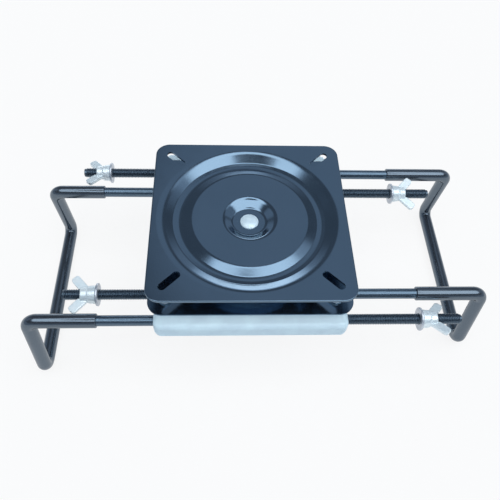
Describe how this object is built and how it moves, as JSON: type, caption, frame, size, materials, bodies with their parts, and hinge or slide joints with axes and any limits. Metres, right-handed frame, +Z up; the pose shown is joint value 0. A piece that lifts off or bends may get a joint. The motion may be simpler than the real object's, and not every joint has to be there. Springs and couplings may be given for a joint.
{
  "type": "clamp-on swivel seat base",
  "caption": "Square pressed-steel seat swivel on a pressed zinc cradle with hooked, sleeved clamp bars and wing nuts that grip a bench.",
  "frame": {"origin": "on the swivel axis, in the plane of the cradle's lower edges, which sit on the bench", "axes": "+X along the clamp rods towards the picture's right, +Y from front to rear, +Z up along the swivel axis"},
  "size_m": [0.4188, 0.2072, 0.1197],
  "materials": {
    "black_enamel": "gloss stoved enamel",
    "bar_black": "satin black",
    "sleeve_vinyl": "smooth vinyl",
    "cradle_zinc": "pale zinc plate",
    "bright_zinc": "bright zinc plate",
    "ball_steel": "polished",
    "cage_plastic": "natural nylon"
  },
  "bodies": {
    "base": {"clamp_cradle": "cradle_zinc", "lower_plate": "black_enamel", "pivot_rivet": "bright_zinc", "pivot_washer": "cage_plastic", "plate_bolts": "bright_zinc", "plate_nuts": "bright_zinc"},
    "seat": {"seat_plate": "black_enamel"},
    "ball_ring": {"race_balls": "ball_steel", "ball_retainer": "cage_plastic"},
    "left_bar": {"left_clamp_bar": "bar_black", "left_bar_sleeve": "sleeve_vinyl"},
    "right_bar": {"right_clamp_bar": "bar_black", "right_bar_sleeve": "sleeve_vinyl"},
    "left_front_washer_body": {"left_front_washer": "bright_zinc"},
    "left_front_nut_body": {"left_front_wing_nut": "bright_zinc"},
    "left_rear_washer_body": {"left_rear_washer": "bright_zinc"},
    "left_rear_nut_body": {"left_rear_wing_nut": "bright_zinc"},
    "right_front_washer_body": {"right_front_washer": "bright_zinc"},
    "right_front_nut_body": {"right_front_wing_nut": "bright_zinc"},
    "right_rear_washer_body": {"right_rear_washer": "bright_zinc"},
    "right_rear_nut_body": {"right_rear_wing_nut": "bright_zinc"}
  },
  "joints": [
    {"name": "seat_swivel", "type": "hinge", "parent": "base", "child": "seat", "pos_m": [0, 0, 0.04944], "axis": [0, 0, 1], "continuous": true},
    {"name": "ball_ring_roll", "type": "hinge", "parent": "base", "child": "ball_ring", "pos_m": [0, 0, 0.04944], "axis": [0, 0, 1], "continuous": true},
    {"name": "left_bar_slide", "type": "slide", "parent": "base", "child": "left_bar", "axis": [1, 0, 0], "range_m": [-0.028, 0.045]},
    {"name": "right_bar_slide", "type": "slide", "parent": "base", "child": "right_bar", "axis": [-1, 0, 0], "range_m": [-0.028, 0.045]},
    {"name": "left_front_washer_slide", "type": "slide", "parent": "right_bar", "child": "left_front_washer_body", "axis": [1, 0, 0], "range_m": [-0.012, 0.0195]},
    {"name": "left_front_nut_spin", "type": "hinge", "parent": "left_front_washer_body", "child": "left_front_nut_body", "pos_m": [0, -0.0596, 0.0108], "axis": [1, 0, 0], "range_deg": [-2940, 4740]},
    {"name": "left_rear_washer_slide", "type": "slide", "parent": "right_bar", "child": "left_rear_washer_body", "axis": [1, 0, 0], "range_m": [-0.012, 0.0195]},
    {"name": "left_rear_nut_spin", "type": "hinge", "parent": "left_rear_washer_body", "child": "left_rear_nut_body", "pos_m": [0, 0.0857, 0.0108], "axis": [1, 0, 0], "range_deg": [-2940, 4740]},
    {"name": "right_front_washer_slide", "type": "slide", "parent": "left_bar", "child": "right_front_washer_body", "axis": [1, 0, 0], "range_m": [-0.0195, 0.012]},
    {"name": "right_front_nut_spin", "type": "hinge", "parent": "right_front_washer_body", "child": "right_front_nut_body", "pos_m": [0, -0.0857, 0.0108], "axis": [1, 0, 0], "range_deg": [-4740, 2940]},
    {"name": "right_rear_washer_slide", "type": "slide", "parent": "left_bar", "child": "right_rear_washer_body", "axis": [1, 0, 0], "range_m": [-0.0195, 0.012]},
    {"name": "right_rear_nut_spin", "type": "hinge", "parent": "right_rear_washer_body", "child": "right_rear_nut_body", "pos_m": [0, 0.0596, 0.0108], "axis": [1, 0, 0], "range_deg": [-4740, 2940]}
  ],
  "couplings": [
    {"joint": "ball_ring_roll", "follows": "seat_swivel", "ratio": 0.5},
    {"joint": "left_front_nut_spin", "follows": "left_front_washer_slide", "rad_per_m": 4188.8},
    {"joint": "left_rear_nut_spin", "follows": "left_rear_washer_slide", "rad_per_m": 4188.8},
    {"joint": "right_front_nut_spin", "follows": "right_front_washer_slide", "rad_per_m": 4188.8},
    {"joint": "right_rear_nut_spin", "follows": "right_rear_washer_slide", "rad_per_m": 4188.8}
  ]
}
